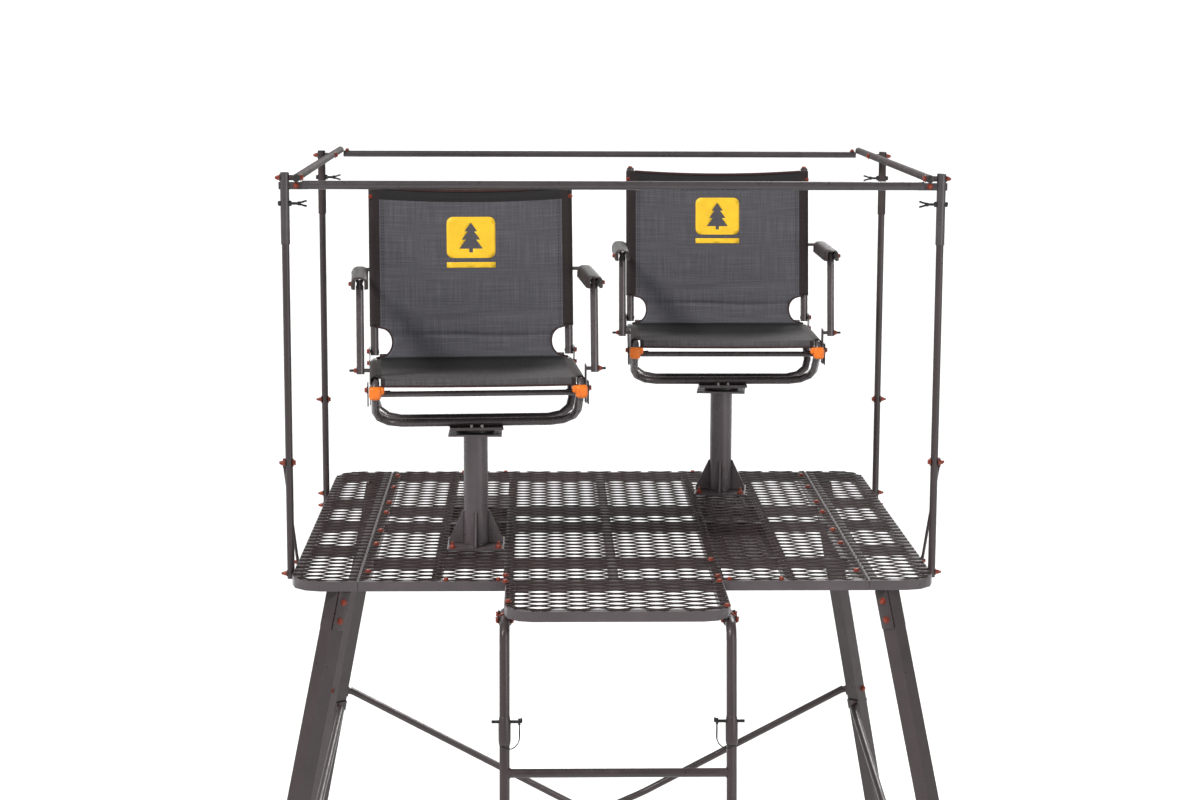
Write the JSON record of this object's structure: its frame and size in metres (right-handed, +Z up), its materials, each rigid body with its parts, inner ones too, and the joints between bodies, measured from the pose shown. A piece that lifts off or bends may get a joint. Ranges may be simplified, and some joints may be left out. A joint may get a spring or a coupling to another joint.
{
  "type": "ladder tree stand",
  "caption": "Free-standing hunting platform on splayed legs with a front ladder, adjustable shooting rail and swivelling mesh chairs whose backs fold forward.",
  "frame": {"origin": "middle of the footprint's box, on the ground", "axes": "+Z up, -Y towards the ladder side, +X to the right of someone facing the ladder"},
  "size_m": [2.675, 2.7852, 4.055],
  "materials": {
    "powder_coat": "matte textured powder coat",
    "rail_frame": "satin powder coat",
    "chair_frame": "satin powder coat",
    "deck_metal": "matte powder coat on expanded steel",
    "black_hardware": "black oxide, satin",
    "mesh_fabric": "woven coated mesh",
    "arm_foam": "soft matte foam",
    "accent_orange": "satin moulded plastic",
    "fastener_orange": "satin anodised zinc",
    "badge_yellow": "printed patch",
    "fabric_binding": "woven tape"
  },
  "bodies": {
    "stand": {"leg_front_left": "powder_coat", "foot_front_left": "powder_coat", "post_front_left": "powder_coat", "leg_front_right": "powder_coat", "foot_front_right": "powder_coat", "post_front_right": "powder_coat", "leg_back_left": "powder_coat", "foot_back_left": "powder_coat", "post_back_left": "powder_coat", "leg_back_right": "powder_coat", "foot_back_right": "powder_coat", "post_back_right": "powder_coat", "centre_frame": "powder_coat", "wing_frame_left": "powder_coat", "wing_frame_right": "powder_coat", "landing_frame": "powder_coat", "deck_centre": "deck_metal", "deck_left": "deck_metal", "deck_right": "deck_metal", "deck_landing": "deck_metal", "back_brace_a": "powder_coat", "back_brace_b": "powder_coat", "side_brace_left": "powder_coat", "side_brace_right": "powder_coat", "ladder_top_left": "powder_coat", "ladder_top_right": "powder_coat", "ladder_middle": "powder_coat", "ladder_bottom": "powder_coat", "post_strut_left": "powder_coat", "post_strut_right": "powder_coat", "pedestal_left": "powder_coat", "pedestal_right": "powder_coat"},
    "shooting_rail": {"rail_front": "rail_frame", "rail_left": "rail_frame", "rail_right": "rail_frame", "rail_back": "rail_frame"},
    "rail_lock_front_left": {"rail_lock_front_left": "black_hardware"},
    "rail_lock_front_right": {"rail_lock_front_right": "black_hardware"},
    "rail_lock_back_left": {"rail_lock_back_left": "black_hardware"},
    "rail_lock_back_right": {"rail_lock_back_right": "black_hardware"},
    "ladder_pin_upper_left": {"ladder_pin_upper_left": "black_hardware"},
    "ladder_pin_upper_right": {"ladder_pin_upper_right": "black_hardware"},
    "ladder_pin_lower_left": {"ladder_pin_lower_left": "black_hardware"},
    "ladder_pin_lower_right": {"ladder_pin_lower_right": "black_hardware"},
    "chair_left": {"chair_chassis_left": "chair_frame", "seat_sling_left": "mesh_fabric"},
    "chair_back_left": {"chair_back_frame_left": "chair_frame", "back_sling_left": "mesh_fabric"},
    "arm_link_left_of_left": {"arm_link_left_of_left": "chair_frame"},
    "arm_pad_left_of_left": {"arm_pad_left_of_left": "arm_foam"},
    "arm_link_right_of_left": {"arm_link_right_of_left": "chair_frame"},
    "arm_pad_right_of_left": {"arm_pad_right_of_left": "arm_foam"},
    "chair_right": {"chair_chassis_right": "chair_frame", "seat_sling_right": "mesh_fabric"},
    "chair_back_right": {"chair_back_frame_right": "chair_frame", "back_sling_right": "mesh_fabric"},
    "arm_link_left_of_right": {"arm_link_left_of_right": "chair_frame"},
    "arm_pad_left_of_right": {"arm_pad_left_of_right": "arm_foam"},
    "arm_link_right_of_right": {"arm_link_right_of_right": "chair_frame"},
    "arm_pad_right_of_right": {"arm_pad_right_of_right": "arm_foam"}
  },
  "joints": [
    {"name": "rail_height", "type": "slide", "parent": "stand", "child": "shooting_rail", "axis": [0, 0, 1], "range_m": [-0.015, 0.03]},
    {"name": "rail_lock_front_left_turn", "type": "hinge", "parent": "shooting_rail", "child": "rail_lock_front_left", "pos_m": [-0.82, -0.43696, 3.979], "axis": [1, 0, 0], "range_deg": [0, 360]},
    {"name": "rail_lock_front_right_turn", "type": "hinge", "parent": "shooting_rail", "child": "rail_lock_front_right", "pos_m": [0.82, -0.43696, 3.979], "axis": [1, 0, 0], "range_deg": [0, 360]},
    {"name": "rail_lock_back_left_turn", "type": "hinge", "parent": "shooting_rail", "child": "rail_lock_back_left", "pos_m": [-0.82, 0.59704, 3.979], "axis": [1, 0, 0], "range_deg": [0, 360]},
    {"name": "rail_lock_back_right_turn", "type": "hinge", "parent": "shooting_rail", "child": "rail_lock_back_right", "pos_m": [0.82, 0.59704, 3.979], "axis": [1, 0, 0], "range_deg": [0, 360]},
    {"name": "ladder_pin_upper_left_pull", "type": "slide", "parent": "stand", "child": "ladder_pin_upper_left", "axis": [1, 0, 0], "range_m": [0, 0.065]},
    {"name": "ladder_pin_upper_right_pull", "type": "slide", "parent": "stand", "child": "ladder_pin_upper_right", "axis": [-1, 0, 0], "range_m": [0, 0.065]},
    {"name": "ladder_pin_lower_left_pull", "type": "slide", "parent": "stand", "child": "ladder_pin_lower_left", "axis": [1, 0, 0], "range_m": [0, 0.065]},
    {"name": "ladder_pin_lower_right_pull", "type": "slide", "parent": "stand", "child": "ladder_pin_lower_right", "axis": [-1, 0, 0], "range_m": [0, 0.065]},
    {"name": "left_swivel", "type": "hinge", "parent": "stand", "child": "chair_left", "pos_m": [-0.355, -0.17296, 3.366], "axis": [0, 0, 1], "continuous": true},
    {"name": "left_back_fold", "type": "hinge", "parent": "chair_left", "child": "chair_back_left", "pos_m": [-0.36825, 0.01657, 3.548], "axis": [0.9976, 0.0698, 0], "range_deg": [0, 98]},
    {"name": "arm_link_left_of_left_fold", "type": "hinge", "parent": "chair_left", "child": "arm_link_left_of_left", "pos_m": [-0.64241, -0.36347, 3.548], "axis": [0.9976, 0.0698, 0], "range_deg": [0, 98]},
    {"name": "arm_pad_left_of_left_level", "type": "hinge", "parent": "chair_back_left", "child": "arm_pad_left_of_left", "pos_m": [-0.66993, 0.03009, 3.766], "axis": [0.9976, 0.0698, 0], "range_deg": [-98, 0]},
    {"name": "arm_link_right_of_left_fold", "type": "hinge", "parent": "chair_left", "child": "arm_link_right_of_left", "pos_m": [-0.04387, -0.32162, 3.548], "axis": [0.9976, 0.0698, 0], "range_deg": [0, 98]},
    {"name": "arm_pad_right_of_left_level", "type": "hinge", "parent": "chair_back_left", "child": "arm_pad_right_of_left", "pos_m": [-0.07139, 0.07194, 3.766], "axis": [0.9976, 0.0698, 0], "range_deg": [-98, 0]},
    {"name": "right_swivel", "type": "hinge", "parent": "stand", "child": "chair_right", "pos_m": [0.352, 0.56604, 3.366], "axis": [0, 0, 1], "continuous": true},
    {"name": "right_back_fold", "type": "hinge", "parent": "chair_right", "child": "chair_back_right", "pos_m": [0.352, 0.75604, 3.548], "axis": [1, 0, 0], "range_deg": [0, 98]},
    {"name": "arm_link_left_of_right_fold", "type": "hinge", "parent": "chair_right", "child": "arm_link_left_of_right", "pos_m": [0.052, 0.39604, 3.548], "axis": [1, 0, 0], "range_deg": [0, 98]},
    {"name": "arm_pad_left_of_right_level", "type": "hinge", "parent": "chair_back_right", "child": "arm_pad_left_of_right", "pos_m": [0.052, 0.79056, 3.766], "axis": [1, 0, 0], "range_deg": [-98, 0]},
    {"name": "arm_link_right_of_right_fold", "type": "hinge", "parent": "chair_right", "child": "arm_link_right_of_right", "pos_m": [0.652, 0.39604, 3.548], "axis": [1, 0, 0], "range_deg": [0, 98]},
    {"name": "arm_pad_right_of_right_level", "type": "hinge", "parent": "chair_back_right", "child": "arm_pad_right_of_right", "pos_m": [0.652, 0.79056, 3.766], "axis": [1, 0, 0], "range_deg": [-98, 0]}
  ],
  "couplings": [
    {"joint": "arm_link_left_of_left_fold", "follows": "left_back_fold", "ratio": 1},
    {"joint": "arm_pad_left_of_left_level", "follows": "left_back_fold", "ratio": -1},
    {"joint": "arm_link_right_of_left_fold", "follows": "left_back_fold", "ratio": 1},
    {"joint": "arm_pad_right_of_left_level", "follows": "left_back_fold", "ratio": -1},
    {"joint": "arm_link_left_of_right_fold", "follows": "right_back_fold", "ratio": 1},
    {"joint": "arm_pad_left_of_right_level", "follows": "right_back_fold", "ratio": -1},
    {"joint": "arm_link_right_of_right_fold", "follows": "right_back_fold", "ratio": 1},
    {"joint": "arm_pad_right_of_right_level", "follows": "right_back_fold", "ratio": -1}
  ]
}
